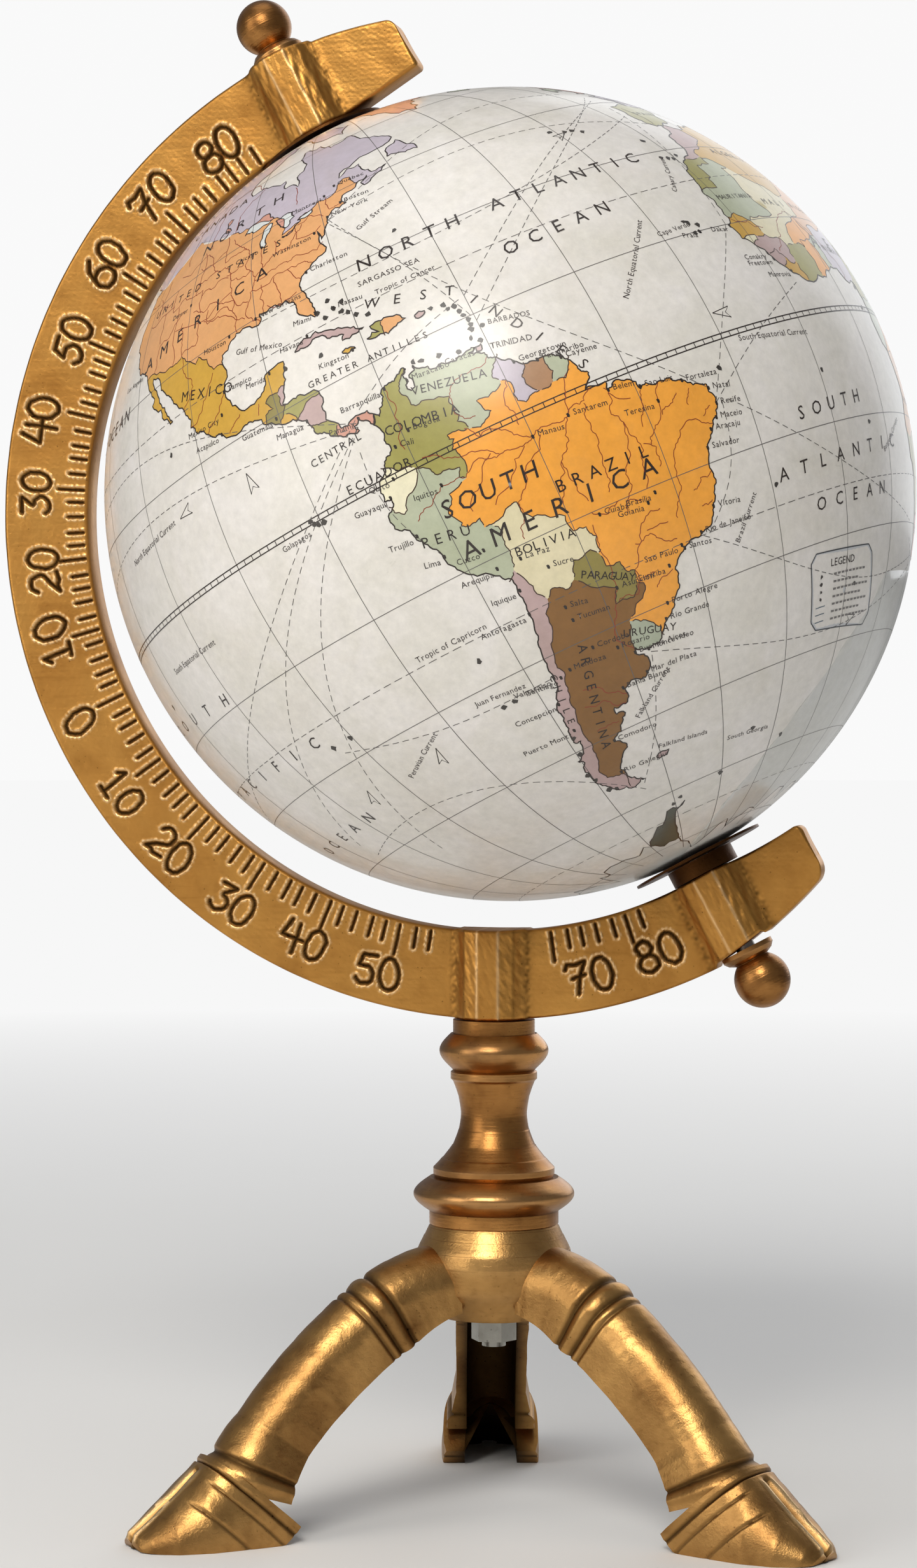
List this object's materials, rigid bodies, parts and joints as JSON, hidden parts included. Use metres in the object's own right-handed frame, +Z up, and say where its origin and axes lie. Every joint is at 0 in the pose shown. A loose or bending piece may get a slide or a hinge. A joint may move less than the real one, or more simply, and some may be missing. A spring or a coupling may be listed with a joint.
{
  "type": "desktop globe on stand",
  "caption": "Tilted paper-covered globe turning inside a C-shaped brass meridian arc, on a turned column and a tripod with hoof feet.",
  "frame": {"origin": "on the pedestal's axis, at the height of the table the feet stand on", "axes": "+Z up, +X along the plane of the meridian arc towards its open side, -Y towards the engraved front face"},
  "size_m": [0.2329, 0.203, 0.3825],
  "materials": {
    "antique_brass": "satin antique brass",
    "leg_brass": "rubbed antique brass, cast pits",
    "column_brass": "turned antique brass",
    "finial_brass": "turned, darkened brass",
    "dark_brown_metal": "dark brown lacquer",
    "steel_rod": "plain rod",
    "zinc_fixing": "dulled zinc",
    "disc_metal": "thin rolled sheet",
    "shell_board": "pressed board",
    "bush_plastic": "moulded",
    "map_paper": "printed, lightly varnished"
  },
  "bodies": {
    "stand": {"meridian_arc": "antique_brass", "column": "column_brass", "tripod_hub": "leg_brass", "leg_left": "leg_brass", "leg_right": "leg_brass", "leg_rear": "leg_brass", "leg_screws": "zinc_fixing", "centre_stud": "zinc_fixing", "stud_washer": "zinc_fixing", "stud_nut": "zinc_fixing", "axle_rod": "steel_rod", "finial_north": "finial_brass", "finial_south": "finial_brass", "south_spacer": "dark_brown_metal"},
    "globe": {"shell_north": "shell_board", "shell_south": "shell_board", "joining_ring": "shell_board", "bush_north": "bush_plastic", "bush_south": "bush_plastic", "pole_disc_north": "disc_metal", "pole_disc_south": "disc_metal", "map_north": "map_paper", "map_south": "map_paper"}
  },
  "joints": [
    {"name": "globe_spin", "type": "hinge", "parent": "stand", "child": "globe", "pos_m": [0.004, 0, 0.256], "axis": [-0.4695, 0, 0.8829], "continuous": true}
  ]
}
